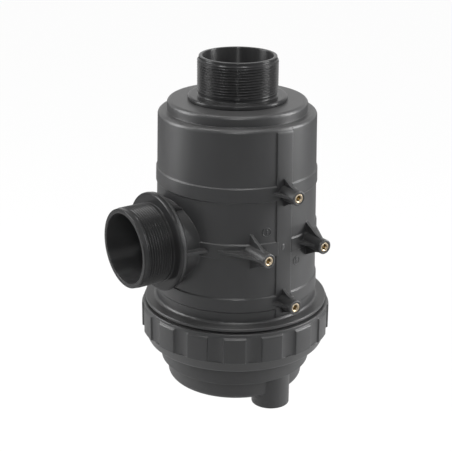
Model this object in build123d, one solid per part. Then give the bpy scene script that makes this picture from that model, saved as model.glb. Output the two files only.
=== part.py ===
"""Suction filter for a pump's inlet side: a moulded housing with a strainer cartridge and a screw-on bowl.

The origin is the centre of the outlet's mouth. +Z runs up the main axis, the four bracket bosses
point along -Y and the inlet points along -X. Lengths are in millimetres, and a drop is a distance
below the outlet's mouth.
"""

from build123d import *

import os
from math import cos, radians, sin

# Pipe nipples: one moulding at both ends, with a shorter thread and a fuller lead on the inlet's
THREAD_CREST_R = 29.8
OUTLET_THREAD_LEN = 23.0
INLET_THREAD_LEN = 19.1
LEAD_LEN = 3.2
OUTLET_LEAD_STEP = 1.2
INLET_LEAD_STEP = 0.4
MOUTH_EDGE = 0.5
NECK_LEN = 2.8
NECK_STEP = 0.8
NIPPLE_WALL = 3.8
NIPPLE_FLANGE_REACH = 7.0
NIPPLE_FLANGE_T = 3.2
FLANGE_TOP_EDGE = 1.1
FLANGE_SEAT_EDGE = 0.5
SPIGOT_WALL = 2.0
SPIGOT_LEN = 7.5

# Housing: stepped top, drafted barrel with three bands, collar and threaded skirt
BARREL_TOP_R = 58.7
BARREL_DRAFT = 2.8
DISC_STEP = 6.8
DISC_EDGE = 2.8
DISC_H = 8.0
SHOULDER_EDGE = 3.0
INLET_DROP = 130.0
BAND_PITCH = 42.0
BAND_H = 11.5
BAND_RISE = 0.8
BAND_EDGE = 0.8
STRIP_W = 12.0
STRIP_SHIFT = 0.8
STRIP_DEPTH = 0.6
COLLAR_BELOW_INLET = 56.6
COLLAR_T = 2.2
COLLAR_REACH = 3.3
COLLAR_EDGE = 0.8
COLLAR_FOOT = 2.0
SKIRT_STEP = 5.1
SKIRT_LEN = 23.4
SKIRT_WALL = 5.6
SKIRT_EDGE = 1.2
SKIRT_ROOT = 2.0
WALL = 4.5
DISC_WALL = 5.0
TOP_WALL = 5.5
OUTLET_TUBE_WALL = 5.5
OUTLET_TUBE_LEN = 29.8

# Inlet neck on the housing's side
INLET_STAND_OFF = 11.2
INLET_NECK_INSET = 6.2
INLET_COLLAR_INSET = 0.4
INLET_COLLAR_T = 3.6
INLET_COLLAR_BEVEL = 1.6
WEB_T = 2.2
LEVEL_WEB_LEN = 15.5
LEVEL_WEB_RISE = 0.8
UPPER_WEB_LEN = 10.0
UPPER_WEB_FALL = 5.6
UPPER_WEB_ANGLE = 62.0

# Bracket bosses with brass inserts
BOSS_REACH = 18.1
BOSS_DEPTH = 36.0
BOSS_R = 5.45
BOSS_EDGE = 0.5
BOSS_SPREAD_X = 50.0
GUSSET_T = 2.2
GUSSET_BACK = 3.0
GUSSET_LIP = 0.5
GUSSET_BEND_BACK = 10.0
GUSSET_BEND_RISE = 1.5
GUSSET_SLOPE = 0.52
INSERT_R = 3.7
INSERT_LEN = 12.0
INSERT_HOLE_R = 2.1
INSERT_ROOM = 2.0

# Ring nut
NUT_GAP = 1.8
NUT_RIM_WALL = 4.4
NUT_RIM_T = 2.4
PAD_WALL = 5.8
PAD_CHAMFER = 1.2
NUT_CONE_H = 8.8
NUT_FOOT_WALL = 1.1
LUGS = 16
NUT_TURN = 1.25
NOTCH_WALL = 3.7
NOTCH_W = 11.4
NOTCH_DISH = 0.7
NOTCH_FLARE = 1.6
NUT_LIP_T = 4.7
SLIP_RING_T = 0.6
SLIP_RING_PLAY = 0.3

# Bowl with its drain spout
BOWL_FLANGE_T = 4.3
BOWL_INSET = 8.3
BOWL_WALL = 3.6
BOWL_DRAFT = 0.4
BOWL_DEPTH = 21.8
DISH_STEP = 5.5
DISH_LEDGE = 1.4
DISH_EDGE = 4.0
DISH_INNER_EDGE = 2.2
DISH_H = 15.6
SPOUT_R = 14.5
SPOUT_INSET = 0.3
SPOUT_REACH = 10.0
SPOUT_TURN = 5.3
SPOUT_WALL = 1.5
DRAIN_SEAT_LEDGE = 3.0
PLUG_PLAY = 0.3
PLUG_LEN = 10.0
PLUG_HEAD_T = 2.1
PLUG_EDGE = 0.4
PLUG_RECESS = 0.2
PLUG_HEX = 10.0
PLUG_HEX_DEPTH = 6.0

# Strainer cartridge
FLOW_GAP = 13.0
SLEEVE_WALL = 5.7
SLEEVE_LAP = 14.0
SLEEVE_LAND = 3.5
COLLAR_PLATE_T = 5.9
CAGE_WALL = 3.0
CAGE_RIBS = 10
CAGE_RIB_W = 3.0
CAGE_ROWS = 5
CAGE_RING_H = 3.4
CAGE_RIM_H = 6.0
MESH_T = 0.5
MESH_LAP = 2.5
SEAM_W = 9.0
SEAM_T = 0.6
END_CAP_T = 3.2
END_CAP_EDGE = 1.3
END_CAP_SKIRT = 4.0
GRIP_LEN = 30.0
GRIP_T = 3.0
GRIP_H = 3.6
FOOT_RING_INSET = 10.4
FOOT_RING_W = 6.0
FOOT_RING_H = 3.1
FOOT_SEAL_T = 2.0

# Seals and clearances
FLANGE_RING_SECTION = 1.4
FLANGE_RING_INSET = 4.85
BOWL_RING_SECTION = 1.5
CARTRIDGE_RING_SECTION = 1.4
DRAIN_RING_SECTION = 0.9
RING_PLAY = 0.05
GROOVE_SIDE_PLAY = 0.3
FIT_PLAY = 0.05
SOCKET_PLAY = 0.3
SLIDE_PLAY = 0.4
SEAT_GAP = 0.1

# Overlap that fuses two forms or carries a cutter past a face
OVERRUN = 1.0

# Worked-out radii
flange_r = THREAD_CREST_R + NIPPLE_FLANGE_REACH
bore_r = THREAD_CREST_R - NIPPLE_WALL
spigot_r = bore_r + SPIGOT_WALL
socket_r = spigot_r + SOCKET_PLAY
flange_ring_r = flange_r - FLANGE_RING_INSET
outlet_tube_r = bore_r + OUTLET_TUBE_WALL
disc_r = BARREL_TOP_R - DISC_STEP
barrel_foot_r = BARREL_TOP_R + BARREL_DRAFT
skirt_r = barrel_foot_r + SKIRT_STEP
skirt_bore_r = skirt_r - SKIRT_WALL
collar_r = skirt_r + COLLAR_REACH
inlet_neck_r = flange_r - INLET_NECK_INSET
inlet_collar_r = flange_r - INLET_COLLAR_INSET
nut_thread_r = skirt_r + SLIDE_PLAY
bowl_r = skirt_r - BOWL_INSET
bowl_foot_r = bowl_r - BOWL_DRAFT
bowl_ring_r = (skirt_r + skirt_bore_r) / 2
dish_r = bowl_r - DISH_STEP
dish_foot_r = dish_r - BOWL_DRAFT
drain_seat_r = SPOUT_R - SPOUT_WALL
drain_r = drain_seat_r - DRAIN_SEAT_LEDGE
sleeve_bore_r = outlet_tube_r + SOCKET_PLAY
sleeve_r = sleeve_bore_r + SLEEVE_WALL
cartridge_ring_r = outlet_tube_r + RING_PLAY + CARTRIDGE_RING_SECTION
cage_r = BARREL_TOP_R - WALL - FLOW_GAP
cage_bore_r = cage_r - CAGE_WALL
mesh_r = cage_bore_r - FIT_PLAY
foot_ring_r = cage_r - FOOT_RING_INSET

# Worked-out levels, from the outlet's seat down to the spout
inlet_seat = LEAD_LEN + INLET_THREAD_LEN + NECK_LEN + NIPPLE_FLANGE_T
disc_top = LEAD_LEN + OUTLET_THREAD_LEN + NECK_LEN + NIPPLE_FLANGE_T
shoulder = disc_top + DISC_H
tube_end = disc_top + OUTLET_TUBE_LEN
inlet_reach = BARREL_TOP_R + INLET_STAND_OFF + inlet_seat
boss_face = BARREL_TOP_R + BOSS_REACH
collar_drop = INLET_DROP + COLLAR_BELOW_INLET
collar_bottom = collar_drop + COLLAR_T
skirt_end = collar_bottom + SKIRT_LEN
bowl_top = skirt_end + SEAT_GAP
bowl_flange_bottom = bowl_top + BOWL_FLANGE_T
nut_top = collar_bottom + NUT_GAP
lip_top = bowl_flange_bottom + SLIP_RING_PLAY + SLIP_RING_T
nut_bottom = lip_top + NUT_LIP_T
bowl_step = bowl_flange_bottom + BOWL_DEPTH
dish_top = bowl_step + DISH_LEDGE
bowl_bottom = bowl_step + DISH_H
floor_top = bowl_bottom - BOWL_WALL
spout_end = bowl_bottom + SPOUT_REACH
plug_head_top = spout_end - PLUG_RECESS - PLUG_HEAD_T
drain_seat = plug_head_top - 2 * (DRAIN_RING_SECTION + RING_PLAY)
foot_seal_bottom = floor_top - FOOT_RING_H - SEAT_GAP
foot_seal_top = foot_seal_bottom - FOOT_SEAL_T
cage_bottom = foot_seal_top - END_CAP_SKIRT - END_CAP_T
collar_stop = tube_end + SEAT_GAP
cage_top = collar_stop + COLLAR_PLATE_T

# Worked-out places
band_drops = [INLET_DROP + step * BAND_PITCH for step in (-1, 0, 1)]
boss_places = [
    Pos(-BOSS_SPREAD_X / 2, 0, -INLET_DROP),
    Pos(BOSS_SPREAD_X / 2, 0, -INLET_DROP),
    Pos(0, 0, -band_drops[0]),
    Pos(0, 0, -band_drops[2]),
]
spout_offset = bowl_foot_r - SPOUT_R - SPOUT_INSET
spout_x = spout_offset * sin(radians(SPOUT_TURN))
spout_y = -spout_offset * cos(radians(SPOUT_TURN))

# Takes a piece made at the outlet to the inlet
to_inlet = Pos(-inlet_reach, 0, -INLET_DROP) * Rot(0, -90, 0)


def turned(*points):
    """A solid of revolution about Z from (radius, drop) corner points."""
    outline = Polyline(*[(r, -drop) for r, drop in points], close=True)
    return revolve(make_face(Plane.XZ * outline), Axis.Z)


def tube(outer_r, inner_r, top, bottom):
    """A plain ring between two drops."""
    return turned((inner_r, top), (outer_r, top), (outer_r, bottom), (inner_r, bottom))


def rod(radius, top, bottom, x=0.0, y=0.0):
    """An upright round bar between two drops."""
    return Pos(x, y, -(top + bottom) / 2) * Cylinder(radius, bottom - top)


def circles_at(shape, radius, drop):
    """The circular edges of a turned shape with this radius and drop."""
    return [
        e
        for e in shape.edges().filter_by(GeomType.CIRCLE)
        if abs(e.radius - radius) < 0.01 and abs(e.arc_center.Z + drop) < 0.01
    ]


def barrel_r(drop):
    """Outer radius of the drafted barrel at a drop."""
    share = (drop - shoulder) / (collar_drop - shoulder)
    return BARREL_TOP_R + BARREL_DRAFT * share


# Pipe nipples and their seals


def nipple(seat, lead_step):
    """Nipple with its mouth at the origin and its flange's seat at a drop."""
    lead_r = THREAD_CREST_R - lead_step
    neck_r = THREAD_CREST_R - NECK_STEP
    neck_end = seat - NIPPLE_FLANGE_T
    thread_end = neck_end - NECK_LEN
    body = turned(
        (bore_r, 0),
        (lead_r, 0),
        (lead_r, LEAD_LEN - lead_step),
        (THREAD_CREST_R, LEAD_LEN),
        (THREAD_CREST_R, thread_end),
        (neck_r, thread_end + NECK_STEP),
        (neck_r, neck_end),
        (flange_r, neck_end),
        (flange_r, seat),
        (spigot_r, seat),
        (spigot_r, seat + SPIGOT_LEN),
        (bore_r, seat + SPIGOT_LEN),
    )
    body = chamfer(circles_at(body, lead_r, 0), MOUTH_EDGE)
    body = fillet(circles_at(body, flange_r, neck_end), FLANGE_TOP_EDGE)
    return chamfer(circles_at(body, flange_r, seat), FLANGE_SEAT_EDGE)


def flange_groove(seat):
    """Cutter for the O-ring groove in the face that a nipple's flange sits on."""
    half_width = FLANGE_RING_SECTION + GROOVE_SIDE_PLAY
    depth = 2 * (FLANGE_RING_SECTION + RING_PLAY)
    return tube(flange_ring_r + half_width, flange_ring_r - half_width, seat, seat + depth)


def flange_seal(seat):
    """O-ring lying in that groove, clear of the flange above it."""
    centre = seat + FLANGE_RING_SECTION + RING_PLAY
    return Pos(0, 0, -centre) * Torus(flange_ring_r, FLANGE_RING_SECTION)


# Housing


def barrel():
    """Solid outer form: stepped top, drafted barrel with raised bands, collar and skirt."""
    points = [(0, disc_top), (disc_r, disc_top), (disc_r, shoulder), (BARREL_TOP_R, shoulder)]
    for drop in band_drops:
        top, bottom = drop - BAND_H / 2, drop + BAND_H / 2
        points += [
            (barrel_r(top), top),
            (barrel_r(top) + BAND_RISE, top + BAND_EDGE),
            (barrel_r(bottom) + BAND_RISE, bottom - BAND_EDGE),
            (barrel_r(bottom), bottom),
        ]
    points += [
        (barrel_foot_r, collar_drop),
        (collar_r, collar_drop),
        (collar_r, collar_bottom),
        (skirt_r, collar_bottom),
        (skirt_r, skirt_end),
        (0, skirt_end),
    ]
    body = turned(*points)
    body = fillet(circles_at(body, disc_r, disc_top), DISC_EDGE)
    body = fillet(circles_at(body, BARREL_TOP_R, shoulder), SHOULDER_EDGE)
    body = fillet(circles_at(body, barrel_foot_r, collar_drop), COLLAR_FOOT)
    body = fillet(circles_at(body, collar_r, collar_drop), COLLAR_EDGE)
    return chamfer(circles_at(body, skirt_r, skirt_end), SKIRT_EDGE)


def strip_cut():
    """Cutter that lowers the upright strip between the panels, level with the bosses."""
    top, bottom = shoulder, collar_drop - COLLAR_FOOT
    block = Pos(STRIP_SHIFT, -barrel_foot_r, -(top + bottom) / 2) * Box(
        STRIP_W, barrel_foot_r, bottom - top
    )
    core = turned(
        (0, top),
        (barrel_r(top) - STRIP_DEPTH, top),
        (barrel_r(bottom) - STRIP_DEPTH, bottom),
        (0, bottom),
    )
    return block - core


def neck_web(length, rise):
    """Web on the neck's -Y side from the back of its collar, its outer edge rising by that much."""
    back = inlet_seat + INLET_COLLAR_T
    root_r = inlet_neck_r - OVERRUN
    outline = Polyline(
        (root_r, OVERRUN - back),
        (inlet_collar_r - INLET_COLLAR_BEVEL, OVERRUN - back),
        (inlet_collar_r - INLET_COLLAR_BEVEL, -back),
        (inlet_collar_r + rise, -back - length),
        (root_r, -back - length),
        close=True,
    )
    return Rot(0, 0, -90) * extrude(make_face(Plane.XZ * outline), WEB_T / 2, both=True)


def inlet_neck():
    """Side neck with the collar that the inlet nipple's flange sits on, and its four webs."""
    back = inlet_seat + INLET_COLLAR_T
    collar = rod(inlet_collar_r, inlet_seat, back)
    neck = rod(inlet_neck_r, inlet_seat, inlet_reach)
    neck += chamfer(circles_at(collar, inlet_collar_r, back), INLET_COLLAR_BEVEL)
    level_web = neck_web(LEVEL_WEB_LEN, LEVEL_WEB_RISE)
    upper_web = neck_web(UPPER_WEB_LEN, -UPPER_WEB_FALL)
    neck += level_web
    neck += Rot(0, 0, 180) * level_web
    neck += Rot(0, 0, UPPER_WEB_ANGLE) * upper_web
    neck += Rot(0, 0, 180 - UPPER_WEB_ANGLE) * upper_web
    return to_inlet * neck


def boss():
    """One bracket boss with four gussets, its axis on the Y axis, reaching into the barrel."""
    root = boss_face - BOSS_DEPTH
    front = boss_face - GUSSET_BACK
    bar = Pos(0, -(boss_face + root) / 2, 0) * Rot(90, 0, 0) * Cylinder(BOSS_R, BOSS_DEPTH)
    bar = chamfer(bar.edges().filter_by(GeomType.CIRCLE).sort_by(Axis.Y)[0], BOSS_EDGE)
    bend = boss_face - GUSSET_BEND_BACK
    bend_r = BOSS_R + GUSSET_BEND_RISE
    gusset_outline = Polyline(
        (0, -front),
        (BOSS_R - GUSSET_LIP, -front),
        (bend_r, -bend),
        (bend_r + (bend - root) * GUSSET_SLOPE, -root),
        (0, -root),
        close=True,
    )
    gusset = extrude(make_face(gusset_outline), GUSSET_T / 2, both=True)
    for turn in (0, 90, 180, 270):
        bar += Rot(0, turn, 0) * gusset
    return bar


def chamber():
    """Cutter for the hollow inside, leaving the outlet tube that carries the cartridge."""
    ceiling = disc_top + TOP_WALL
    step = shoulder + TOP_WALL
    return turned(
        (outlet_tube_r, ceiling),
        (disc_r - DISC_WALL, ceiling),
        (disc_r - DISC_WALL, step),
        (barrel_r(step) - WALL, step),
        (barrel_foot_r - WALL, collar_drop),
        (skirt_bore_r, collar_bottom + SKIRT_ROOT),
        (skirt_bore_r, skirt_end + OVERRUN),
        (0, skirt_end + OVERRUN),
        (0, tube_end),
        (outlet_tube_r, tube_end),
    )


def housing():
    """The one-piece moulding that everything else seats in or on."""
    body = barrel() - strip_cut()
    body += inlet_neck()
    for place in boss_places:
        body += place * boss()
    body -= chamber()
    socket_end = disc_top + SPIGOT_LEN + SOCKET_PLAY
    body -= rod(socket_r, disc_top - OVERRUN, socket_end)
    body -= rod(bore_r, socket_end - OVERRUN, tube_end + OVERRUN)
    body -= flange_groove(disc_top)
    body -= to_inlet * (
        rod(socket_r, inlet_seat - OVERRUN, inlet_reach) + flange_groove(inlet_seat)
    )
    pocket = Rot(90, 0, 0) * Cylinder(INSERT_R + FIT_PLAY, 2 * (INSERT_LEN + INSERT_ROOM))
    for place in boss_places:
        body -= place * Pos(0, -boss_face, 0) * pocket
    return body


def bracket_inserts():
    """Four brass bushes with M5 tapping holes, flush with the boss faces."""
    bush = Cylinder(INSERT_R, INSERT_LEN) - Cylinder(INSERT_HOLE_R, INSERT_LEN)
    bush = Pos(0, -boss_face + INSERT_LEN / 2, 0) * Rot(90, 0, 0) * bush
    return Compound([place * bush for place in boss_places])


# Ring nut and slip ring


def ring_nut():
    """Castellated nut whose lip carries the bowl's flange."""
    rim_bottom = nut_top + NUT_RIM_T
    pad_bottom = nut_bottom - NUT_CONE_H
    rim_r = nut_thread_r + NUT_RIM_WALL
    pad_r = nut_thread_r + PAD_WALL
    lip_r = bowl_r + SLIDE_PLAY
    nut = turned(
        (nut_thread_r, nut_top),
        (rim_r, nut_top),
        (rim_r, rim_bottom),
        (pad_r, rim_bottom + PAD_CHAMFER),
        (pad_r, pad_bottom),
        (rim_r, pad_bottom),
        (nut_thread_r + NUT_FOOT_WALL, nut_bottom),
        (lip_r, nut_bottom),
        (lip_r, lip_top),
        (nut_thread_r, lip_top),
    )
    floor_r = nut_thread_r + NOTCH_WALL
    side_r = floor_r + NOTCH_DISH
    clear_r = side_r + 2 * NOTCH_FLARE
    half_width = NOTCH_W / 2
    notch_floor = ThreePointArc((side_r, -half_width), (floor_r, 0), (side_r, half_width))
    notch_sides = Polyline(
        (side_r, half_width),
        (clear_r, half_width + NOTCH_FLARE),
        (clear_r, -half_width - NOTCH_FLARE),
        (side_r, -half_width),
    )
    notch_face = make_face(notch_floor + notch_sides)
    notch = Pos(0, 0, -pad_bottom) * extrude(notch_face, pad_bottom - rim_bottom, dir=(0, 0, 1))
    for i in range(LUGS):
        nut -= Rot(0, 0, i * 360 / LUGS - 90 - NUT_TURN) * notch
    return nut


def slip_ring():
    """Thin washer that lets the nut turn without dragging the bowl round."""
    return tube(skirt_r, bowl_r + 2 * SLIDE_PLAY, lip_top - SLIP_RING_T, lip_top)


# Bowl, drain plug and their seals


def bowl():
    """Two-step bowl with a clamping flange, a foot ring for the cartridge and a drain spout."""
    body = turned(
        (0, bowl_top),
        (skirt_r, bowl_top),
        (skirt_r, bowl_flange_bottom),
        (bowl_r, bowl_flange_bottom),
        (bowl_foot_r, bowl_step),
        (dish_r, dish_top),
        (dish_foot_r, bowl_bottom),
        (0, bowl_bottom),
    )
    body = fillet(circles_at(body, dish_foot_r, bowl_bottom), DISH_EDGE)
    body = fillet(circles_at(body, bowl_foot_r, bowl_step), DISH_LEDGE / 2)
    body += rod(SPOUT_R, bowl_step, spout_end, spout_x, spout_y)
    hollow = turned(
        (0, bowl_top - OVERRUN),
        (bowl_r - BOWL_WALL, bowl_top - OVERRUN),
        (bowl_foot_r - BOWL_WALL, bowl_step - BOWL_WALL),
        (dish_r - BOWL_WALL, dish_top - BOWL_WALL),
        (dish_foot_r - BOWL_WALL, floor_top),
        (0, floor_top),
    )
    inner_corner = circles_at(hollow, dish_foot_r - BOWL_WALL, floor_top)
    body -= fillet(inner_corner, DISH_INNER_EDGE)
    ring_top = floor_top - FOOT_RING_H
    body += tube(foot_ring_r, foot_ring_r - FOOT_RING_W, ring_top, floor_top + OVERRUN)
    well_top = dish_top + BOWL_WALL
    body -= rod(drain_r, well_top, spout_end + OVERRUN, spout_x, spout_y)
    body -= rod(drain_seat_r, drain_seat, spout_end + OVERRUN, spout_x, spout_y)
    half_width = BOWL_RING_SECTION + GROOVE_SIDE_PLAY
    groove_bottom = skirt_end + 2 * (BOWL_RING_SECTION + RING_PLAY)
    groove_top = bowl_top - OVERRUN
    body -= tube(bowl_ring_r + half_width, bowl_ring_r - half_width, groove_top, groove_bottom)
    return body


def bowl_seal():
    """O-ring in the bowl's flange, under the skirt's end face."""
    centre = skirt_end + RING_PLAY + BOWL_RING_SECTION
    return Pos(0, 0, -centre) * Torus(bowl_ring_r, BOWL_RING_SECTION)


def drain_plug():
    """Flanged plug with a hexagon socket, screwed up into the spout."""
    head_r = drain_seat_r - SLIDE_PLAY
    head_bottom = plug_head_top + PLUG_HEAD_T
    plug = rod(head_r, plug_head_top, head_bottom)
    plug = chamfer(circles_at(plug, head_r, head_bottom), PLUG_EDGE)
    plug += rod(drain_r - PLUG_PLAY, plug_head_top - PLUG_LEN, plug_head_top)
    socket = extrude(RegularPolygon(PLUG_HEX / 2, 6, major_radius=False), PLUG_HEX_DEPTH)
    return Pos(spout_x, spout_y, 0) * (plug - Pos(0, 0, -head_bottom) * socket)


def drain_plug_seal():
    """O-ring round the plug, between its head and the spout's seat."""
    centre = plug_head_top - RING_PLAY - DRAIN_RING_SECTION
    radius = drain_r + DRAIN_RING_SECTION + GROOVE_SIDE_PLAY
    return Pos(spout_x, spout_y, -centre) * Torus(radius, DRAIN_RING_SECTION)


# Strainer cartridge

sleeve_top = tube_end - SLEEVE_LAP
ring_half_width = CARTRIDGE_RING_SECTION + GROOVE_SIDE_PLAY
cartridge_ring_drop = sleeve_top + SLEEVE_LAND + ring_half_width


def cartridge_collar():
    """Sleeve that plugs over the outlet tube and widens to the cage's top rim."""
    plate_bore_r = outlet_tube_r - CAGE_WALL
    body = turned(
        (sleeve_bore_r, sleeve_top),
        (sleeve_r, sleeve_top),
        (sleeve_r, collar_stop - CAGE_WALL),
        (cage_r, collar_stop),
        (cage_r, cage_top),
        (plate_bore_r, cage_top),
        (plate_bore_r, collar_stop),
        (sleeve_bore_r, collar_stop),
    )
    groove_r = outlet_tube_r + 2 * (CARTRIDGE_RING_SECTION + RING_PLAY)
    groove_top = cartridge_ring_drop - ring_half_width
    return body - tube(
        groove_r, sleeve_bore_r - OVERRUN, groove_top, groove_top + 2 * ring_half_width
    )


def cartridge_seal():
    """O-ring inside the sleeve, round the outlet tube."""
    return Pos(0, 0, -cartridge_ring_drop) * Torus(cartridge_ring_r, CARTRIDGE_RING_SECTION)


def cage():
    """Upright ribs and level rings that carry the mesh on their inside."""
    body = tube(cage_r, cage_bore_r, cage_top, cage_top + CAGE_RIM_H)
    body += tube(cage_r, cage_bore_r, cage_bottom - CAGE_RIM_H, cage_bottom)
    span = (cage_bottom - cage_top - 2 * CAGE_RIM_H) / CAGE_ROWS
    for row in range(1, CAGE_ROWS):
        middle = cage_top + CAGE_RIM_H + row * span
        body += tube(cage_r, cage_bore_r, middle - CAGE_RING_H / 2, middle + CAGE_RING_H / 2)
    rib_block = Pos(cage_r, 0, -(cage_top + cage_bottom) / 2) * Box(
        4 * CAGE_WALL, CAGE_RIB_W, cage_bottom - cage_top - CAGE_RIM_H
    )
    shell = tube(cage_r, cage_bore_r, cage_top, cage_bottom)
    for i in range(CAGE_RIBS):
        body += (Rot(0, 0, i * 360 / CAGE_RIBS) * rib_block) & shell
    return body


def mesh():
    """Rolled stainless gauze, as a plain thin tube inside the cage."""
    return tube(mesh_r, mesh_r - MESH_T, cage_top + MESH_LAP, cage_bottom - MESH_LAP)


def mesh_seam():
    """Welded strip over the gauze's joint, on its inside."""
    outer = mesh_r - MESH_T - FIT_PLAY
    ring = tube(outer, outer - SEAM_T, cage_top + MESH_LAP, cage_bottom - MESH_LAP)
    slab = Pos(0, outer, -(cage_top + cage_bottom) / 2) * Box(
        SEAM_W, outer, cage_bottom - cage_top
    )
    return ring & slab


def end_cap():
    """Closed foot of the cartridge with a finger grip under it."""
    plate_bottom = cage_bottom + END_CAP_T
    cap = rod(cage_r, cage_bottom, plate_bottom)
    cap = chamfer(circles_at(cap, cage_r, plate_bottom), END_CAP_EDGE)
    cap += tube(foot_ring_r, foot_ring_r - FOOT_RING_W, plate_bottom, foot_seal_top)
    grip = Box(GRIP_LEN, GRIP_T, GRIP_H)
    return cap + Pos(0, 0, -plate_bottom - GRIP_H / 2) * grip


def foot_seal():
    """Flat ring between the end cap and the bowl's foot ring."""
    return tube(foot_ring_r, foot_ring_r - FOOT_RING_W, foot_seal_top, foot_seal_bottom)


pieces = {
    "housing": housing(),
    "outlet_nipple": nipple(disc_top, OUTLET_LEAD_STEP),
    "outlet_nipple_seal": flange_seal(disc_top),
    "inlet_nipple": to_inlet * nipple(inlet_seat, INLET_LEAD_STEP),
    "inlet_nipple_seal": to_inlet * flange_seal(inlet_seat),
    "bracket_inserts": bracket_inserts(),
    "ring_nut": ring_nut(),
    "nut_slip_ring": slip_ring(),
    "bowl": bowl(),
    "bowl_seal": bowl_seal(),
    "drain_plug": drain_plug(),
    "drain_plug_seal": drain_plug_seal(),
    "cartridge_collar": cartridge_collar(),
    "cartridge_seal": cartridge_seal(),
    "cartridge_cage": cage(),
    "cartridge_mesh": mesh(),
    "cartridge_mesh_seam": mesh_seam(),
    "cartridge_end_cap": end_cap(),
    "cartridge_foot_seal": foot_seal(),
}

os.makedirs("parts", exist_ok=True)
for name, shape in pieces.items():
    export_step(shape, f"parts/{name}.step")
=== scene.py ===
"""Looks of a suction filter: a moulded housing, two threaded nipples, a ring nut, a bowl and a strainer.

Metres, with +Z up the main axis and the origin at the centre of the outlet's mouth. A drop is a
distance below that mouth. The sections follow the filter as it is put together.
"""

from math import cos, pi, radians, sin

import bmesh
import bpy
import numpy as np
from mathutils import Matrix, Vector


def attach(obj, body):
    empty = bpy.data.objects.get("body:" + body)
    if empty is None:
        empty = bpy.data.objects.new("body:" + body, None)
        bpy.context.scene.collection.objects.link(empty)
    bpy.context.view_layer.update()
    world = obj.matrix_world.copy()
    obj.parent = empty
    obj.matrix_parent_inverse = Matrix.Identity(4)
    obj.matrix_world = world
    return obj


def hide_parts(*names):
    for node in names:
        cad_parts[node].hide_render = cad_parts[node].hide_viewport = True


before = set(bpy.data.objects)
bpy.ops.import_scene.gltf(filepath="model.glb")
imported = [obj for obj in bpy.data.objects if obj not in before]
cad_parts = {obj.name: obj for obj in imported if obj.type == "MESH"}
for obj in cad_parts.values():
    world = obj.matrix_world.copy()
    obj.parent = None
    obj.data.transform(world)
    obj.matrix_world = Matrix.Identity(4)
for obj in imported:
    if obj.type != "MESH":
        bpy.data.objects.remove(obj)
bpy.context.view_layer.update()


# Housing. One dark grey glass-filled moulding: stepped top, drafted barrel with three bands, four
# bracket bosses and the collar over the nut. Its skin has a fine mould texture and soft edges, worn and
# with a painted highlight.

DARK_GREY = (0.023, 0.0232, 0.024)
PALE_GREY = (0.033, 0.0333, 0.034)
DUST_COLOUR = (0.24, 0.23, 0.215, 1.0)


def node_group(name, inputs, outputs):
    """An empty shader group with its input and output nodes. The inputs are {name: default}, where a
    tuple makes a colour, and the outputs are (name, socket type) pairs."""
    group = bpy.data.node_groups.new(name, "ShaderNodeTree")
    for label, value in inputs.items():
        kind = "NodeSocketColor" if isinstance(value, tuple) else "NodeSocketFloat"
        socket = group.interface.new_socket(label, in_out="INPUT", socket_type=kind)
        socket.default_value = value
    for label, kind in outputs:
        group.interface.new_socket(label, in_out="OUTPUT", socket_type=kind)
    return group, group.nodes.new("NodeGroupInput"), group.nodes.new("NodeGroupOutput")


def add(tree, kind, **values):
    """A new node with its properties set."""
    node = tree.nodes.new(kind)
    for label, value in values.items():
        setattr(node, label, value)
    return node


def feed(tree, socket, value):
    """Sets a socket to a number or a colour, or links it to another socket."""
    if isinstance(value, (int, float, tuple)):
        socket.default_value = value
    else:
        tree.links.new(value, socket)


def sums(tree, operation, a, b=0.0, clamp=False):
    """A Math node's output; a and b are numbers or sockets."""
    node = add(tree, "ShaderNodeMath", operation=operation, use_clamp=clamp)
    feed(tree, node.inputs[0], a)
    feed(tree, node.inputs[1], b)
    return node.outputs[0]


def noise(tree, coordinates, scale, detail, roughness):
    """Fractal noise between 0 and 1; its scale is in cells a metre, as a number or a socket."""
    node = add(tree, "ShaderNodeTexNoise")
    feed(tree, node.inputs["Scale"], scale)
    feed(tree, node.inputs["Detail"], detail)
    feed(tree, node.inputs["Roughness"], roughness)
    feed(tree, node.inputs["Vector"], coordinates)
    return node.outputs["Fac"]


def between(tree, factor, low, high):
    """A linear mix of two values or two colours by a factor."""
    colours = isinstance(low, tuple) or getattr(low, "type", "") == "RGBA"
    node = add(tree, "ShaderNodeMix", data_type="RGBA" if colours else "FLOAT")
    low_input, high_input, output = (6, 7, 2) if colours else (2, 3, 0)
    feed(tree, node.inputs[low_input], low)
    feed(tree, node.inputs[high_input], high)
    tree.links.new(factor, node.inputs[0])
    return node.outputs[output]


def bump_from(tree, height, distance, strength=1.0):
    """A Bump node on a height socket, whose 1 stands for the distance."""
    bump = add(tree, "ShaderNodeBump")
    bump.inputs["Strength"].default_value = strength
    bump.inputs["Distance"].default_value = distance
    tree.links.new(height, bump.inputs["Height"])
    return bump


def new_material(name):
    """A material with its node tree and its Principled shader."""
    material = bpy.data.materials.new(name)
    material.use_nodes = True
    return material, material.node_tree, material.node_tree.nodes["Principled BSDF"]


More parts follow.
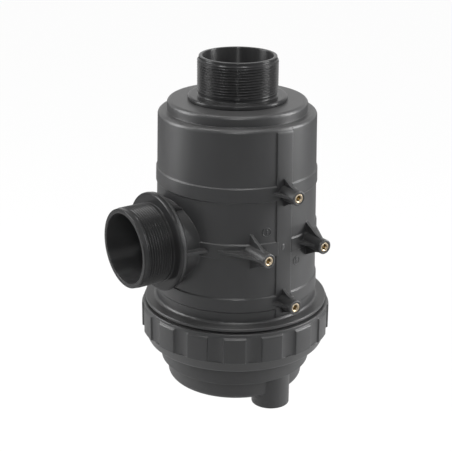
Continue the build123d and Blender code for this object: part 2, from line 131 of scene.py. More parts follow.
def moulded_skin_group():
    """Moulded plastic: colour and roughness drift slowly, and the height is a fine even grain."""
    group, given, out = node_group(
        "moulded_skin",
        {"Dark": (0.03, 0.03, 0.03, 1.0), "Light": (0.05, 0.05, 0.05, 1.0), "Smooth": 0.4,
         "Rough": 0.5, "Grains a metre": 2200.0},
        [("Colour", "NodeSocketColor"), ("Roughness", "NodeSocketFloat"), ("Height", "NodeSocketFloat")],
    )
    place = add(group, "ShaderNodeTexCoord").outputs["Object"]
    drift = noise(group, place, scale=26.0, detail=3.0, roughness=0.6)
    flow = add(group, "ShaderNodeMapping")
    flow.inputs["Scale"].default_value = (1.0, 1.0, 0.16)
    group.links.new(place, flow.inputs["Vector"])
    streaks = noise(group, flow.outputs[0], scale=90.0, detail=4.0, roughness=0.65)
    blend = sums(group, "MULTIPLY_ADD", streaks, 0.55)
    group.links.new(sums(group, "MULTIPLY", drift, 0.45), blend.node.inputs[2])
    grain = noise(group, place, given.outputs["Grains a metre"], detail=1.0, roughness=0.4)
    speckle = sums(group, "MULTIPLY", sums(group, "SUBTRACT", grain, 0.5), 0.08)
    tone = between(group, blend, given.outputs["Dark"], given.outputs["Light"])
    rough = between(group, drift, given.outputs["Smooth"], given.outputs["Rough"])
    group.links.new(tone, out.inputs["Colour"])
    group.links.new(sums(group, "ADD", rough, speckle), out.inputs["Roughness"])
    group.links.new(grain, out.inputs["Height"])
    return group


def edge_wear_and_sheen_group():
    """Rounded corners: the bevelled normal, and a mask that rises where it turns off the true one."""
    group, given, out = node_group(
        "edge_wear_and_sheen",
        {"Radius": 0.0006, "Gain": 6.0},
        [("Normal", "NodeSocketVector"), ("Edge", "NodeSocketFloat")],
    )
    bevel = add(group, "ShaderNodeBevel", samples=6)
    group.links.new(given.outputs["Radius"], bevel.inputs["Radius"])
    turn = add(group, "ShaderNodeVectorMath", operation="DOT_PRODUCT")
    group.links.new(bevel.outputs[0], turn.inputs[0])
    group.links.new(add(group, "ShaderNodeNewGeometry").outputs["Normal"], turn.inputs[1])
    off = sums(group, "SUBTRACT", 1.0, turn.outputs["Value"])
    edge = sums(group, "MULTIPLY", off, given.outputs["Gain"], clamp=True)
    group.links.new(bevel.outputs[0], out.inputs["Normal"])
    group.links.new(edge, out.inputs["Edge"])
    return group


def settled_dust_group():
    """Thin dust: it lies where the normal's Z passes 0.35, broken into patches by noise."""
    group, given, out = node_group("settled_dust", {"Amount": 0.1}, [("Dust", "NodeSocketFloat")])
    up = add(group, "ShaderNodeSeparateXYZ")
    group.links.new(add(group, "ShaderNodeNewGeometry").outputs["Normal"], up.inputs[0])
    level = sums(group, "SUBTRACT", up.outputs["Z"], 0.35, clamp=True)
    place = add(group, "ShaderNodeTexCoord").outputs["Object"]
    patches = noise(group, place, scale=260.0, detail=5.0, roughness=0.7)
    cover = sums(group, "MULTIPLY", level, patches)
    dust = sums(group, "MULTIPLY", cover, given.outputs["Amount"], clamp=True)
    group.links.new(dust, out.inputs["Dust"])
    return group


skin_group = moulded_skin_group()
edge_group = edge_wear_and_sheen_group()
dust_group = settled_dust_group()


def moulded_plastic(name, dark, light, smooth, rough, grain=2200.0, depth=0.00002, radius=0.0006,
                    dust=0.12, specular=0.5, wear_and_sheen_lift=0.25):
    """A moulded plastic: the shared skin and thin dust, which makes it rougher. With a radius, its
    corners are also softened and smoother by 0.85, and in part paler by 2.2 times: wear and a painted
    highlight."""
    material, tree, shader = new_material(name)
    shader.inputs["Specular IOR Level"].default_value = specular
    skin = add(tree, "ShaderNodeGroup", node_tree=skin_group)
    for label, value in (("Dark", (*dark, 1.0)), ("Light", (*light, 1.0)), ("Smooth", smooth),
                         ("Rough", rough), ("Grains a metre", grain)):
        skin.inputs[label].default_value = value
    film = add(tree, "ShaderNodeGroup", node_tree=dust_group)
    film.inputs["Amount"].default_value = dust
    bump = bump_from(tree, skin.outputs["Height"], depth)
    tone, worn = skin.outputs["Colour"], skin.outputs["Roughness"]
    if radius:
        edge = add(tree, "ShaderNodeGroup", node_tree=edge_group)
        edge.inputs["Radius"].default_value = radius
        # Paler corners: wear, and a painted highlight where the rounded edges catch the lamps.
        pale = tuple(min(1.0, channel * 2.2 + 0.01) for channel in light)
        wear_and_sheen = sums(tree, "MULTIPLY", edge.outputs["Edge"], wear_and_sheen_lift)
        tone = between(tree, wear_and_sheen, tone, (*pale, 1.0))
        worn = between(tree, edge.outputs["Edge"], worn, smooth * 0.85)
        tree.links.new(edge.outputs["Normal"], bump.inputs["Normal"])
    tone = between(tree, film.outputs["Dust"], tone, DUST_COLOUR)
    worn = sums(tree, "ADD", worn, sums(tree, "MULTIPLY", film.outputs["Dust"], 0.4), clamp=True)
    tree.links.new(tone, shader.inputs["Base Color"])
    tree.links.new(worn, shader.inputs["Roughness"])
    tree.links.new(bump.outputs[0], shader.inputs["Normal"])
    return material


def dress(node, material):
    """Gives a CAD node its finish."""
    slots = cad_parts[node].data.materials
    if len(slots):
        slots[0] = material
    else:
        slots.append(material)


housing_plastic = moulded_plastic(
    "housing_plastic", DARK_GREY, PALE_GREY, smooth=0.37, rough=0.43, radius=0.0007
)
dress("housing", housing_plastic)


# Pipe nipples. Glossy black mouldings with a fine 2 mm thread, pressed into the housing's sockets
# so that the flange closes an O-ring groove. The inlet's thread is the shorter of the two.

CREST_R = 0.0298
BORE_R = 0.026
PITCH = 0.00202
THREAD_DEPTH = 0.00105
THREAD_REACH = 0.002
THREAD_START = 0.0026
LEAD_LEN = 0.0032
NECK_R = 0.029
NECK_LEN = 0.0028
NECK_SLOPE = 0.0008
FLANGE_R = 0.0368
FLANGE_T = 0.0032
SPIGOT_R = 0.028
SPIGOT_LEN = 0.0075
OUTLET_SEAT = 0.0322
OUTLET_LEAD_STEP = 0.0012
INLET_SEAT = 0.0283
INLET_LEAD_STEP = 0.0004
INLET_MOUTH = 0.0982
INLET_DROP = 0.13
FINE_STEP = 0.00016
COARSE_STEP = 0.0012
NIPPLE_SIDES = 224


def softened(corners, steps=5, closed=True):
    """A profile with its corners eased. Each corner is (across, along, reach) and becomes the
    quadratic curve that leaves one side and meets the other at its reach, or at 0.45 of a side where
    that is less. A closed profile ends on its first point."""
    corners = np.asarray(corners, float)
    corners, reach = corners[:, :2], corners[:, 2]
    before = np.roll(corners, 1, axis=0) - corners
    after = np.roll(corners, -1, axis=0) - corners
    before_len = np.linalg.norm(before, axis=1)
    after_len = np.linalg.norm(after, axis=1)
    cut = np.minimum(reach, 0.45 * np.minimum(before_len, after_len))
    start = corners + before * (cut / before_len)[:, None]
    end = corners + after * (cut / after_len)[:, None]
    t = np.linspace(0, 1, steps)[None, :, None]
    curve = (1 - t) ** 2 * start[:, None] + 2 * t * (1 - t) * corners[:, None] + t ** 2 * end[:, None]
    if closed:
        return ring_of(curve.reshape(-1, 2))
    curve[0] = corners[0]
    curve[-1] = corners[-1]
    return curve.reshape(-1, 2)


def ring_of(points):
    """The same points with the first one again at the end."""
    return np.vstack([points, points[:1]])


def filled_in(profile, spacing):
    """The same profile with more points: each run is divided evenly so that no step passes spacing."""
    step = np.linalg.norm(np.diff(profile, axis=0), axis=1)
    profile = profile[np.concatenate([[True], step > 1e-9])]
    step = np.linalg.norm(np.diff(profile, axis=0), axis=1)
    along = np.concatenate([[0], np.cumsum(step)])
    counts = np.maximum(1, np.ceil(step / spacing).astype(int))
    at = np.repeat(along[:-1], counts) + np.repeat(step / counts, counts) * (
        np.arange(counts.sum()) - np.repeat(np.cumsum(counts) - counts, counts)
    )
    at = np.append(at, along[-1])
    return np.stack([np.interp(at, along, profile[:, 0]), np.interp(at, along, profile[:, 1])], axis=1)


def grid_quads(rows, columns, close_rows=True):
    """The quads of a grid of points: (i, j) joins (i+1, j), (i+1, j+1) and (i, j+1). The columns wrap
    round, and the rows too where closed."""
    i = np.arange(rows if close_rows else rows - 1)[:, None]
    j = np.arange(columns)[None, :]
    i1, j1 = (i + 1) % rows, (j + 1) % columns
    quads = np.stack([i * columns + j, i1 * columns + j, i1 * columns + j1, i * columns + j1], axis=-1)
    return quads.reshape(-1, 4)


def skin_mesh(name, points, material, close_rows=True, sharp=32.0):
    """A quad grid as one piece, closed round its columns. Rows that shrink to one point are merged
    into a pole."""
    quads = grid_quads(*points.shape[:2], close_rows)
    return loose_mesh(name, points.reshape(-1, 3), quads, material, sharp)


def loose_mesh(name, vertices, quads, material, sharp):
    """A piece from whole arrays of vertices and quads, doubles merged. It is smooth except for edges
    that turn by more than sharp degrees."""
    mesh = bpy.data.meshes.new(name)
    mesh.vertices.add(len(vertices))
    mesh.vertices.foreach_set("co", np.asarray(vertices, np.float32).ravel())
    mesh.loops.add(quads.size)
    mesh.loops.foreach_set("vertex_index", quads.astype(np.int32).ravel())
    mesh.polygons.add(len(quads))
    mesh.polygons.foreach_set("loop_start", np.arange(0, quads.size, 4, dtype=np.int32))
    mesh.update(calc_edges=True)
    work = bmesh.new()
    work.from_mesh(mesh)
    bmesh.ops.remove_doubles(work, verts=work.verts, dist=1e-7)
    work.to_mesh(mesh)
    work.free()
    mesh.polygons.foreach_set("use_smooth", np.ones(len(mesh.polygons), bool))
    mesh.set_sharp_from_angle(angle=radians(sharp))
    mesh.materials.append(material)
    piece = bpy.data.objects.new(name, mesh)
    bpy.context.scene.collection.objects.link(piece)
    return piece


def round_about_z(radius, drop, turn):
    """Each point stands at its own radius from the Z axis, at its row's drop and its column's turn."""
    radius = np.broadcast_to(radius, (len(drop), len(turn)))
    down = np.broadcast_to(drop[:, None], radius.shape)
    return np.stack([radius * np.cos(turn), radius * np.sin(turn), -down], axis=-1)


def thread_cut(drop, turn, pitch, hand=1):
    """How far a moulded thread lies below its crest, from 0 to 1, both rounded: half of one minus the
    cosine of 2 pi times (drop / pitch + hand times turn / 2 pi)."""
    return 0.5 - 0.5 * np.cos(2 * pi * (drop[:, None] / pitch + hand * turn[None, :] / (2 * pi)))


def faded(drop, start, end, length):
    """1 along a thread, falling evenly to 0 at its start and its end over the given length."""
    return np.clip((drop - start) / length, 0, 1) * np.clip((end - drop) / length, 0, 1)


def threaded_nipple(seat, lead_step):
    """A closed lathe profile from the mouth down to the seat, the spigot and back up the bore. Between
    lead and neck the radius falls by the thread's cut, faded over one pitch at both ends. The points
    are close together there and thinned out elsewhere."""
    lead_r = CREST_R - lead_step
    neck_end = seat - FLANGE_T
    thread_end = neck_end - NECK_LEN
    foot = seat + SPIGOT_LEN
    outline = softened([
        (BORE_R, 0, 0.0005), (lead_r, 0, 0.0007), (lead_r, LEAD_LEN - lead_step, 0.0003),
        (CREST_R, LEAD_LEN, 0.0003), (CREST_R, thread_end, 0.0003),
        (NECK_R, thread_end + NECK_SLOPE, 0.0003), (NECK_R, neck_end, 0.0012),
        (FLANGE_R, neck_end, 0.0016), (FLANGE_R, seat, 0.0007), (SPIGOT_R, seat, 0.0002),
        (SPIGOT_R, foot, 0.0004), (BORE_R, foot, 0.0003),
    ])

    def in_thread(points):
        """Whether each point is on the crest cylinder, with a little of the slopes at its ends."""
        radius, drop = points.T
        return (radius > CREST_R - 0.0004) & (drop > THREAD_REACH) & (drop < thread_end + 0.0006)

    along = filled_in(outline, FINE_STEP)
    walked = np.linalg.norm(np.diff(along, axis=0), axis=1).cumsum()
    mark = np.floor(walked / COARSE_STEP)
    coarse = np.concatenate([[True], mark[1:] != mark[:-1], [True]])
    corner = np.isin(along.round(9), outline.round(9)).all(axis=1)
    along = along[in_thread(along) | coarse | corner]
    radius, drop = along.T
    turn = np.linspace(0, 2 * pi, NIPPLE_SIDES, endpoint=False)
    depth = THREAD_DEPTH * in_thread(along) * faded(drop, THREAD_START, thread_end + 0.0004, PITCH)
    return round_about_z(radius[:, None] - depth[:, None] * thread_cut(drop, turn, PITCH), drop, turn)[:-1]


gloss_black = moulded_plastic(
    "nipple_gloss", (0.02, 0.02, 0.0205), (0.026, 0.026, 0.0265), smooth=0.2, rough=0.24, grain=60.0,
    depth=0.0, radius=0.0, dust=0.04, specular=0.13,
)


def turned_bore_painted_lighter(name, axis):
    """The same plastic but paler, as painted light in the bore, where a core turned about an axis has
    formed it: highlights stretch along it.
    """
    # Paler than the outer gloss black: painted light inside the bore.
    material = moulded_plastic(
        name, (0.024, 0.024, 0.0245), (0.03, 0.03, 0.0305), smooth=0.3, rough=0.34, grain=60.0,
        depth=0.0, radius=0.0, dust=0.0, specular=0.32,
    )
    tree = material.node_tree
    shader = tree.nodes["Principled BSDF"]
    shader.inputs["Anisotropic"].default_value = 0.95
    shader.inputs["Anisotropic Rotation"].default_value = 0.25
    around = add(tree, "ShaderNodeTangent", direction_type="RADIAL", axis=axis)
    tree.links.new(around.outputs[0], shader.inputs["Tangent"])
    return material


outlet_points = threaded_nipple(OUTLET_SEAT, OUTLET_LEAD_STEP)
outlet = skin_mesh("outlet_nipple_threaded", outlet_points[:, ::-1], gloss_black, sharp=50)

upright = threaded_nipple(INLET_SEAT, INLET_LEAD_STEP)
inlet_points = np.stack(
    [-upright[..., 2] - INLET_MOUTH, upright[..., 1], upright[..., 0] - INLET_DROP], axis=-1
)
inlet = skin_mesh("inlet_nipple_threaded", inlet_points[:, ::-1], gloss_black, sharp=50)

for nipple, node, axis in ((outlet, "outlet_nipple", "Z"), (inlet, "inlet_nipple", "X")):
    nipple.data.materials.append(turned_bore_painted_lighter(node + "_bore", axis))
    middle = np.zeros(3 * len(nipple.data.polygons))
    nipple.data.polygons.foreach_get("center", middle)
    middle = middle.reshape(-1, 3)
    off_axis = np.hypot(middle[:, 1], middle[:, 0] if axis == "Z" else middle[:, 2] + INLET_DROP)
    nipple.data.polygons.foreach_set("material_index", (off_axis < BORE_R + 0.0001).astype(np.int32))
    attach(nipple, "housing")
    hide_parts(node)

seal_rubber = moulded_plastic(
    "seal_rubber", (0.012, 0.012, 0.012), (0.022, 0.022, 0.022), smooth=0.42, rough=0.6, grain=3200.0,
    depth=0.000012, radius=0.0002, dust=0.2, wear_and_sheen_lift=0.1,
)
for node in ("outlet_nipple_seal", "inlet_nipple_seal", "bowl_seal", "drain_plug_seal",
             "cartridge_seal", "cartridge_foot_seal"):
    dress(node, seal_rubber)


# Moulding marks on the housing. The strip down the boss side stands nearly level with the bands. The
# trimmed gate is in its middle, and a date dial without numerals is moulded on either side of it.

BARREL_TOP = 0.0403
BARREL_LEN = 0.1463
BARREL_TOP_R = 0.0587
BARREL_DRAFT = 0.0028
SHOULDER_END = 0.0433
SHOULDER_ROUND = 0.003
STRIP_LEFT = -0.0068
STRIP_RIGHT = 0.0068
STRIP_TOP = 0.0414
STRIP_FOOT = 0.1844
STRIP_RISE = 0.0007
STRIP_SINK = 0.00006
GATE_ACROSS = -0.0013
GATE_DROP = 0.1293
GATE_LEAN = radians(-12)
GATE_HALF_W = 0.0014
GATE_HALF_H = 0.0024
GATE_RISE = 0.0005
DIAL_R = 0.0031
DIAL_WIRE_R = 0.00028
DIAL_PLACES = (("left", -0.0141, 0.1161), ("right", 0.0127, 0.1434))


def on_barrel(across, drop, rise):
    """Points at a sideways distance across the boss side: they stand off the drafted barrel by rise."""
    radius = BARREL_TOP_R + BARREL_DRAFT * (drop - BARREL_TOP) / BARREL_LEN + rise
    return np.stack([across, -np.sqrt(radius ** 2 - across ** 2), -drop + 0 * across], axis=-1)


def raised_strip():
    """A softened rectangle across the barrel, carried down it: it is level with the barrel's shoulder
    for the first 2 mm, its rise grows over 0.5 mm at both ends, and the ends close on its middle. The
    shoulder's round takes 3 - sqrt(9 - up squared) mm off the radius."""
    ease = 0.0002
    section = softened([
        (STRIP_LEFT, -STRIP_RISE, ease), (STRIP_RIGHT, -STRIP_RISE, ease), (STRIP_RIGHT, STRIP_RISE, ease),
        (STRIP_LEFT, STRIP_RISE, ease),
    ], steps=3)
    side, height = filled_in(section, 0.0011)[:-1].T
    head = np.array([0, 0, 0.0005, 0.001, 0.0015, 0.0019, 0.0021, 0.0024])
    middle = np.arange(STRIP_TOP + 0.004, STRIP_FOOT - 0.001, 0.004)
    tail = np.array([0.0007, 0.0004, 0, 0])
    drop = np.concatenate([STRIP_TOP + head, middle, STRIP_FOOT - tail])[:, None]
    share = np.ones(drop.shape)
    share[:7, 0] = 0, 0.02, 0.02, 0.02, 0.02, 0.05, 0.7
    share[-3:, 0] = 0.7, 0.1, 0
    width = np.ones(drop.shape)
    width[[0, -1]] = 0
    centre = (STRIP_LEFT + STRIP_RIGHT) / 2
    across = centre + (side - centre) * width
    rise = np.where(height > 0, height * share, height * (share > 0))
    sunk = np.where(share < 0.06, STRIP_SINK, 0)
    up = np.clip(SHOULDER_END - drop, 0, SHOULDER_ROUND)
    rounding = SHOULDER_ROUND - np.sqrt(SHOULDER_ROUND ** 2 - up ** 2)
    return on_barrel(across, drop, rise - sunk - rounding)


strip = skin_mesh("raised_strip", raised_strip(), housing_plastic, close_rows=False, sharp=40)
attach(strip, "housing")


def trimmed_gate():
    """A low oval dome, 2.8 by 4.8 mm, leaning by 12 degrees: its height falls with the share squared,
    and below the strip's surface it closes on a point."""
    share = np.concatenate([np.linspace(0, 1, 9), [0]])[:, None]
    turn = np.linspace(0, 2 * pi, 40, endpoint=False)[None, :]
    wide, tall = GATE_HALF_W * share * np.cos(turn), GATE_HALF_H * share * np.sin(turn)
    across = GATE_ACROSS + wide * cos(GATE_LEAN) - tall * sin(GATE_LEAN)
    up = wide * sin(GATE_LEAN) + tall * cos(GATE_LEAN)
    height = STRIP_RISE + GATE_RISE * (1 - share ** 2)
    height[-1] = STRIP_RISE - 0.0004
    return on_barrel(across, GATE_DROP - up, height)


gate_plastic = moulded_plastic(
    "gate_plastic", (0.05, 0.05, 0.051), (0.07, 0.07, 0.071), smooth=0.3, rough=0.4, radius=0.0, dust=0.0
)
gate = skin_mesh("trimmed_gate", trimmed_gate()[:, ::-1], gate_plastic, close_rows=False, sharp=60)
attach(gate, "housing")


def date_dial(across, drop):
    """A raised ring: a circle of 3.1 mm swept by a small one, half sunk in the barrel."""
    turn = np.linspace(0, 2 * pi, 64, endpoint=False)[:, None]
    round_it = np.linspace(0, 2 * pi, 10, endpoint=False)[None, :]
    reach = DIAL_R + DIAL_WIRE_R * np.cos(round_it)
    rise = DIAL_WIRE_R * np.sin(round_it)
    return on_barrel(across + reach * np.cos(turn), drop - reach * np.sin(turn), rise)


def dial_arrow(across, drop):
    """An upright arrow: its outline at two heights, closed on its middle below and above. Half of the
    outline is given in millimetres from the dial's centre, and the other half mirrors it."""
    half = np.array([(0, 2.3), (1.1, 0.7), (0.35, 0.7), (0.35, -2.1), (0, -2.1)]) / 1000
    outline = np.vstack([half, (half * (-1, 1))[-2:0:-1]])
    side, up = filled_in(ring_of(outline), 0.0004)[:-1].T
    share = np.array([0, 1, 0.9, 0])[:, None]
    height = np.array([-0.0003, -0.0003, 0.00022, 0.00022])[:, None]
    return on_barrel(across + side * share, drop - up * share, height)


for side, across, drop in DIAL_PLACES:
    ring = skin_mesh(f"{side}_dial_ring", date_dial(across, drop), housing_plastic, sharp=80)
    arrow = skin_mesh(
        f"{side}_dial_arrow", dial_arrow(across, drop), housing_plastic, close_rows=False, sharp=40
    )
    for mark in (ring, arrow):
        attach(mark, "housing")


# Bracket inserts. Four turned brass bushes moulded into the boss faces, each with a countersunk
# M5 thread for the screws of the mounting bracket.

INSERT_PITCH = 0.0008
INSERT_DEPTH = 0.0004
BUSH_R = 0.0037
BUSH_FACE_R = 0.0032
BUSH_LEN = 0.012
HOLE_R = 0.0021
SINK_R = 0.0026
BOSS_FACE = 0.0768
BOSS_CENTRES = ((-0.025, -0.13), (0.025, -0.13), (0.0, -0.088), (0.0, -0.172))


def threaded_bush():
    """A closed profile round the bush's own axis: face, outer wall, back and the hole. In the hole the
    radius swells by the cut of the thread, and the outer wall has every eighth point only."""
    along = filled_in(softened([
        (SINK_R, 0.0001, 0.0001), (BUSH_FACE_R, 0.0001, 0.0001), (BUSH_R, 0.0008, 0.0001),
        (BUSH_R, BUSH_LEN, 0.0003), (HOLE_R, BUSH_LEN, 0.0001), (HOLE_R, 0.0007, 0.0001),
    ]), 0.0001)
    far = (along[:, 0] > BUSH_R - 0.0001) | (along[:, 1] > BUSH_LEN - 0.0002)
    radius, depth = along[~far | (np.arange(len(along)) % 8 == 0)].T
    turn = np.linspace(0, 2 * pi, 40, endpoint=False)
    hole = (radius < SINK_R - 0.0001) & (depth < BUSH_LEN - 0.0002)
    cut = INSERT_DEPTH * hole[:, None] * thread_cut(depth, turn, INSERT_PITCH, hand=-1)
    return round_about_z(radius[:, None] + cut, depth, turn)[:-1]


def turned_brass():
    """Brass with fine lathe rings: roughness and height ripple with distance from the bush's axis, so
    the rings follow the four centres, and the colour drifts towards brown, with painted shade down the
    hole."""
    material, tree, shader = new_material("turned_brass")
    shader.inputs["Metallic"].default_value = 1.0
    place = add(tree, "ShaderNodeTexCoord").outputs["Object"]
    rings = add(tree, "ShaderNodeUVMap", uv_map="rings")
    sunk = add(tree, "ShaderNodeSeparateXYZ")
    tree.links.new(rings.outputs[0], sunk.inputs[0])
    wave = add(tree, "ShaderNodeTexWave", wave_type="BANDS", bands_direction="X")
    wave.inputs["Scale"].default_value = 9.0
    wave.inputs["Distortion"].default_value = 0.6
    tree.links.new(rings.outputs[0], wave.inputs["Vector"])
    stain = noise(tree, place, scale=420.0, detail=4.0, roughness=0.6)
    tone = between(tree, stain, (0.62, 0.53, 0.40, 1.0), (0.50, 0.40, 0.27, 1.0))
    # Painted shade: the colour darkens towards dark brown down the threaded hole.
    hole_shade = sums(tree, "MULTIPLY", sums(tree, "SUBTRACT", sunk.outputs["Y"], 0.5), 0.6, clamp=True)
    tone = between(tree, hole_shade, tone, (0.10, 0.06, 0.02, 1.0))
    bump = bump_from(tree, wave.outputs["Fac"], distance=0.00001, strength=0.6)
    tree.links.new(tone, shader.inputs["Base Color"])
    tree.links.new(between(tree, wave.outputs["Fac"], 0.28, 0.42), shader.inputs["Roughness"])
    tree.links.new(bump.outputs[0], shader.inputs["Normal"])
    return material


def corner_points(piece):
    """The number of the vertex at each face corner."""
    numbers = np.zeros(len(piece.data.loops), np.int32)
    piece.data.loops.foreach_get("vertex_index", numbers)
    return numbers


def lay_uv(piece, name, u, v):
    """A UV map from two values for each face corner."""
    pairs = np.stack([u, v], axis=1).astype(np.float32)
    piece.data.uv_layers.new(name=name).data.foreach_set("uv", pairs.ravel())


bush = threaded_bush()
bushes = np.array([
    np.stack([bush[..., 0] + x, -BOSS_FACE - bush[..., 2], bush[..., 1] + z], axis=-1)
    for x, z in BOSS_CENTRES
])
rows, columns = bush.shape[:2]
first_points = np.arange(len(bushes)) * rows * columns
bush_quads = (grid_quads(rows, columns)[None] + first_points[:, None, None]).reshape(-1, 4)
inserts = loose_mesh("bracket_bushes", bushes.reshape(-1, 3), bush_quads, turned_brass(), sharp=40)
off_axis_mm = np.hypot(bush[..., 0], bush[..., 1]).ravel() * 1000
depth_mm = -bush[..., 2].ravel() * 1000
in_bush = corner_points(inserts) % (rows * columns)
lay_uv(inserts, "rings", off_axis_mm[in_bush], depth_mm[in_bush])
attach(inserts, "housing")
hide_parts("bracket_inserts")


# Strainer cartridge. A blue ribbed cage with its plug-in collar and closed foot, moulded in
# polypropylene, carries a rolled stainless gauze with a welded seam on its inside.

cage_plastic = moulded_plastic(
    "cage_plastic", (0.022, 0.085, 0.32), (0.035, 0.13, 0.44), smooth=0.34, rough=0.46, radius=0.0005,
    dust=0.05,
)
for node in ("cartridge_collar", "cartridge_cage", "cartridge_end_cap"):
    dress(node, cage_plastic)

GAUZE_R = 0.03815
GAUZE_T = 0.0005
GAUZE_TOP = 0.0706
GAUZE_FOOT = 0.2354
GAUZE_PITCH = 0.0009


def rolled_gauze():
    """A closed lathe profile: a thin upright rectangle, from its outer top corner down and back."""
    profile = np.array([
        (GAUZE_R, GAUZE_TOP), (GAUZE_R, GAUZE_FOOT), (GAUZE_R - GAUZE_T, GAUZE_FOOT),
        (GAUZE_R - GAUZE_T, GAUZE_TOP),
    ])
    radius, drop = filled_in(ring_of(profile), 0.004)[:-1].T
    return round_about_z(radius[:, None], drop, np.linspace(0, 2 * pi, 144, endpoint=False))


def woven_gauze():
    """Stainless weave: warp and weft waves are each a sine of one UV axis, and each thread rises over
    the other where the product of two half-pitch sines is positive. The gaps between are painted dark, as
    shade seen through the openings."""
    material, tree, shader = new_material("woven_gauze")
    shader.inputs["Metallic"].default_value = 1.0
    uv = add(tree, "ShaderNodeSeparateXYZ")
    tree.links.new(add(tree, "ShaderNodeUVMap", uv_map="weave").outputs[0], uv.inputs[0])
    across = sums(tree, "SINE", sums(tree, "MULTIPLY", uv.outputs["X"], pi))
    down = sums(tree, "SINE", sums(tree, "MULTIPLY", uv.outputs["Y"], pi))
    over = sums(tree, "MULTIPLY", across, down)
    warp = sums(tree, "SUBTRACT", 1.0, sums(tree, "MULTIPLY", across, across))
    weft = sums(tree, "SUBTRACT", 1.0, sums(tree, "MULTIPLY", down, down))
    wires = sums(tree, "MAXIMUM", warp, weft)
    height = sums(tree, "ADD", wires, sums(tree, "MULTIPLY", over, 0.25))
    place = add(tree, "ShaderNodeTexCoord").outputs["Object"]
    stain = noise(tree, place, scale=60.0, detail=4.0, roughness=0.6)
    bright = between(tree, stain, (0.62, 0.61, 0.58, 1.0), (0.50, 0.49, 0.46, 1.0))
    bump = bump_from(tree, height, distance=0.0002, strength=0.8)
    # Painted shade in the gaps between the wires.
    tree.links.new(between(tree, wires, (0.05, 0.05, 0.05, 1.0), bright), shader.inputs["Base Color"])
    tree.links.new(between(tree, wires, 0.7, 0.32), shader.inputs["Roughness"])
    tree.links.new(bump.outputs[0], shader.inputs["Normal"])
    return material


gauze_points = rolled_gauze()[:, ::-1]
gauze = skin_mesh("rolled_gauze", gauze_points, woven_gauze(), sharp=50)
place = gauze_points.reshape(-1, 3)[corner_points(gauze)]
quad_turn = np.unwrap(np.arctan2(place[:, 1], place[:, 0]).reshape(-1, 4), axis=1)
lay_uv(gauze, "weave", quad_turn.ravel() * GAUZE_R / GAUZE_PITCH, place[:, 2] / GAUZE_PITCH)
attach(gauze, "cartridge")
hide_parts("cartridge_mesh")


def welded_strip():
    """Plain stainless strip: long drawn lines and a blued row of spot welds down its middle. A weld is
    the inside of an ellipse, once in every 6.25 mm of height."""
    material, tree, shader = new_material("welded_strip")
    shader.inputs["Metallic"].default_value = 1.0
    place = add(tree, "ShaderNodeTexCoord").outputs["Object"]
    stretch = add(tree, "ShaderNodeMapping")
    stretch.inputs["Scale"].default_value = (1.0, 1.0, 0.03)
    tree.links.new(place, stretch.inputs["Vector"])
    lines = noise(tree, stretch.outputs[0], scale=1800.0, detail=3.0, roughness=0.6)
    axes = add(tree, "ShaderNodeSeparateXYZ")
    tree.links.new(place, axes.inputs[0])
    side = sums(tree, "MULTIPLY", axes.outputs["X"], 900.0)
    pitch = sums(tree, "FRACT", sums(tree, "MULTIPLY", axes.outputs["Z"], 160.0))
    along = sums(tree, "MULTIPLY", sums(tree, "SUBTRACT", pitch, 0.5), 5.5)
    ellipse = sums(tree, "ADD", sums(tree, "MULTIPLY", side, side), sums(tree, "POWER", along, 2.0))
    weld = sums(tree, "SUBTRACT", 1.0, ellipse, clamp=True)
    steel = between(tree, lines, (0.60, 0.59, 0.57, 1.0), (0.48, 0.47, 0.45, 1.0))
    tree.links.new(between(tree, weld, steel, (0.16, 0.14, 0.15, 1.0)), shader.inputs["Base Color"])
    tree.links.new(between(tree, lines, 0.25, 0.42), shader.inputs["Roughness"])
    return material


dress("cartridge_mesh_seam", welded_strip())


# Bowl. The same dark grey moulding in two steps, with the drain spout off its axis. The ring nut's
# lip holds it by its flange against the skirt's end, on a rubber ring.

bowl_plastic = moulded_plastic(
    "bowl_plastic", DARK_GREY, PALE_GREY, smooth=0.41, rough=0.47, radius=0.0008
)
dress("bowl", bowl_plastic)


# Ring nut. A castellated black nut with sixteen pads for a strap or hook spanner. It runs on the
# skirt's coarse thread and its lip carries the bowl's flange on a slippery washer.

NUT_TOP = 0.1906
NUT_BOTTOM = 0.2222
NUT_BORE_R = 0.067
LIP_TOP = 0.2175
LIP_R = 0.0587
CONE_FOOT_R = 0.0681
RIM_R = 0.0714
NOTCH_R = 0.0707
NOTCH_DISH = 0.0464
NOTCH_HALF_W = 0.0057
PAD_R = 0.0728
PAD_RISE = 0.193
PAD_TOP = 0.1942
PAD_FOOT = 0.2134
PAD_COUNT = 16
PAD_EDGE = 0.00626
NUT_START = radians(-90 - 1.25)


def pad_ring():
    """Outer radius and turn of one pad pitch, from a notch's middle to the next: a dished floor whose
    distance from the axis is 70.7 mm plus sideways squared / 46.4 mm, a flank at 2:1, then the pad."""
    sideways = np.linspace(0, NOTCH_HALF_W, 5)
    floor = np.stack([NOTCH_R + sideways ** 2 / NOTCH_DISH, sideways], axis=1)
    arc = np.linspace(np.arcsin(PAD_EDGE / PAD_R), pi / PAD_COUNT, 5)
    pad = np.stack([PAD_R * np.cos(arc), PAD_R * np.sin(arc)], axis=1)
    reach = np.zeros(10)
    reach[4:6] = 0.0004, 0.0003
    line = softened(np.column_stack([np.vstack([floor, pad]), reach]), steps=4, closed=False)
    line = line[np.concatenate([[True], np.linalg.norm(np.diff(line, axis=0), axis=1) > 0.00008])]
    turn = np.arctan2(line[:, 1], line[:, 0])
    radius = np.hypot(line[:, 0], line[:, 1])
    turn = np.concatenate([-turn[:0:-1], turn])
    radius = np.concatenate([radius[:0:-1], radius])
    return radius[:-1], turn[:-1]


